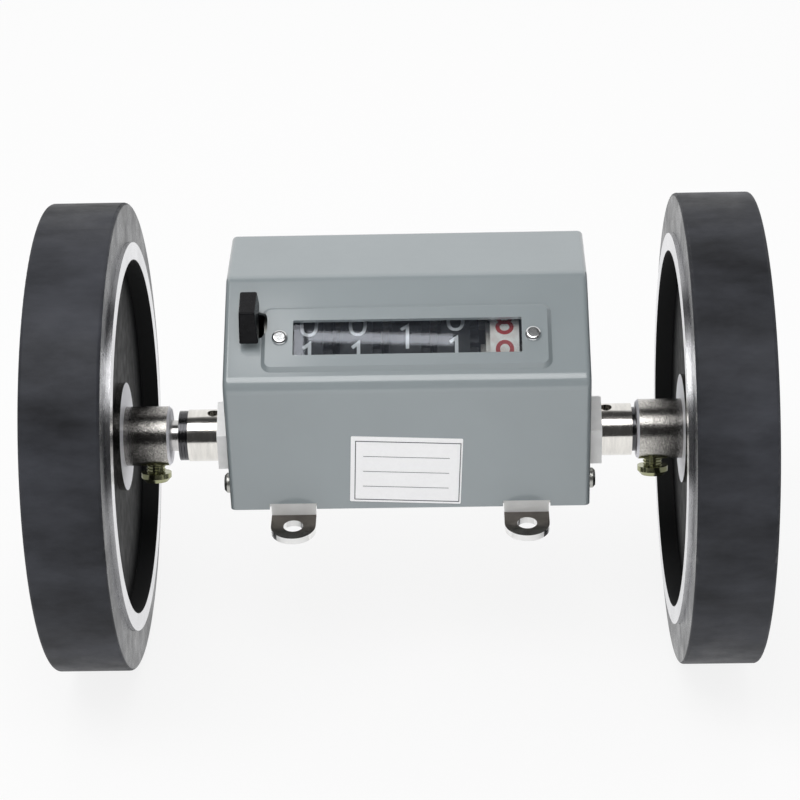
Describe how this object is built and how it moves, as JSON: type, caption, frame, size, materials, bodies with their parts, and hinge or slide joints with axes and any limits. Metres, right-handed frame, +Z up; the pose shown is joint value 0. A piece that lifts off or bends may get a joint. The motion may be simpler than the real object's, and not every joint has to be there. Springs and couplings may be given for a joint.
{
  "type": "cable length counter",
  "caption": "Sheet steel case with a reset lever and number drums behind a window, driven by a shaft with a rubber-tyred measuring wheel at each end.",
  "frame": {"origin": "centre of the four foot holes, on the underside of the feet", "axes": "+X along the wheel shaft, to the right when the window is read; +Y away from the reader; +Z up, out of the surface the feet are bolted to"},
  "size_m": [0.1568, 0.1061, 0.1061],
  "materials": {
    "cover": "semi-gloss grey-green enamel over sheet steel",
    "lens": "clear glossy acrylic",
    "rivet": "bright domed rivet",
    "label": "blank white paper label with a dark border",
    "plated_steel": "bright nickel-plated sheet steel",
    "zinc": "dull zinc-plated steel",
    "yellow_zinc": "yellow zinc-plated screw",
    "nickel": "polished nickel plating",
    "steel": "bright ground steel",
    "tyre_rubber": "smooth dark rubber",
    "wheel_metal": "glossy black paint over metal",
    "rim_metal": "machined bright edges, the inner wall painted black with the disc",
    "drum_plastic": "black plastic with white figures",
    "drum_white": "cream plastic with red figures",
    "brass": "cut brass gear",
    "pinion_plastic": "natural acetal plastic",
    "knob_plastic": "black plastic"
  },
  "bodies": {
    "case": {"cover": "cover", "window_lens": "lens", "window_rivets": "rivet", "label_plate": "label", "base_plate": "plated_steel", "left_side_plate": "zinc", "right_side_plate": "zinc", "tie_rods": "steel", "frame_screws": "zinc", "cover_screws": "zinc", "left_bearing_bush": "nickel", "right_bearing_bush": "nickel", "bush_nuts": "nickel", "counter_shaft": "steel", "pinion_shaft": "steel", "shaft_clips": "steel", "reset_spring": "steel"},
    "wheel_set": {"main_shaft": "steel", "left_rim": "rim_metal", "right_rim": "rim_metal", "left_wheel_disc": "wheel_metal", "right_wheel_disc": "wheel_metal", "left_tyre": "tyre_rubber", "right_tyre": "tyre_rubber", "left_hub": "nickel", "right_hub": "nickel", "left_hub_screw": "yellow_zinc", "right_hub_screw": "yellow_zinc", "left_thrust_washers": "steel", "right_retaining_ring": "steel"},
    "tenths": {"tenths_drum": "drum_white", "counter_gear": "brass"},
    "units": {"units_drum": "drum_plastic"},
    "tens": {"tens_drum": "drum_plastic"},
    "hundreds": {"hundreds_drum": "drum_plastic"},
    "thousands": {"thousands_drum": "drum_plastic"},
    "pinion_1": {"transfer_pinion_1": "pinion_plastic"},
    "pinion_2": {"transfer_pinion_2": "pinion_plastic"},
    "pinion_3": {"transfer_pinion_3": "pinion_plastic"},
    "pinion_4": {"transfer_pinion_4": "pinion_plastic"},
    "reset_lever": {"reset_shaft": "steel", "reset_arm": "zinc", "reset_knob": "knob_plastic", "reset_hammers": "zinc", "reset_shaft_clip": "steel"}
  },
  "joints": [
    {"name": "wheel_spin", "type": "hinge", "parent": "case", "child": "wheel_set", "pos_m": [0, -0.00515, 0.013], "axis": [1, 0, 0], "continuous": true},
    {"name": "tenths_spin", "type": "hinge", "parent": "case", "child": "tenths", "pos_m": [0, -0.00315, 0.02988], "axis": [1, 0, 0], "continuous": true},
    {"name": "units_spin", "type": "hinge", "parent": "case", "child": "units", "pos_m": [0, -0.00315, 0.02988], "axis": [1, 0, 0], "continuous": true},
    {"name": "tens_spin", "type": "hinge", "parent": "case", "child": "tens", "pos_m": [0, -0.00315, 0.02988], "axis": [1, 0, 0], "continuous": true},
    {"name": "hundreds_spin", "type": "hinge", "parent": "case", "child": "hundreds", "pos_m": [0, -0.00315, 0.02988], "axis": [1, 0, 0], "continuous": true},
    {"name": "thousands_spin", "type": "hinge", "parent": "case", "child": "thousands", "pos_m": [0, -0.00315, 0.02988], "axis": [1, 0, 0], "continuous": true},
    {"name": "pinion_1_spin", "type": "hinge", "parent": "case", "child": "pinion_1", "pos_m": [0, 0.01017, 0.03609], "axis": [1, 0, 0], "continuous": true},
    {"name": "pinion_2_spin", "type": "hinge", "parent": "case", "child": "pinion_2", "pos_m": [0, 0.01017, 0.03609], "axis": [1, 0, 0], "continuous": true},
    {"name": "pinion_3_spin", "type": "hinge", "parent": "case", "child": "pinion_3", "pos_m": [0, 0.01017, 0.03609], "axis": [1, 0, 0], "continuous": true},
    {"name": "pinion_4_spin", "type": "hinge", "parent": "case", "child": "pinion_4", "pos_m": [0, 0.01017, 0.03609], "axis": [1, 0, 0], "continuous": true},
    {"name": "reset_press", "type": "hinge", "parent": "case", "child": "reset_lever", "pos_m": [0, 0.00807, 0.01814], "axis": [1, 0, 0], "range_deg": [0, 7], "stiffness_Nm_per_rad": 0.06, "springref_deg": -14.32}
  ],
  "couplings": [
    {"joint": "tenths_spin", "follows": "wheel_spin", "ratio": -0.33333},
    {"joint": "units_spin", "follows": "wheel_spin", "ratio": -0.033333},
    {"joint": "tens_spin", "follows": "wheel_spin", "ratio": -0.0033333},
    {"joint": "hundreds_spin", "follows": "wheel_spin", "ratio": -0.00033333},
    {"joint": "thousands_spin", "follows": "wheel_spin", "ratio": -0.000033333},
    {"joint": "pinion_1_spin", "follows": "wheel_spin", "ratio": 0.083333},
    {"joint": "pinion_2_spin", "follows": "wheel_spin", "ratio": 0.0083333},
    {"joint": "pinion_3_spin", "follows": "wheel_spin", "ratio": 0.00083333},
    {"joint": "pinion_4_spin", "follows": "wheel_spin", "ratio": 0.000083333}
  ]
}
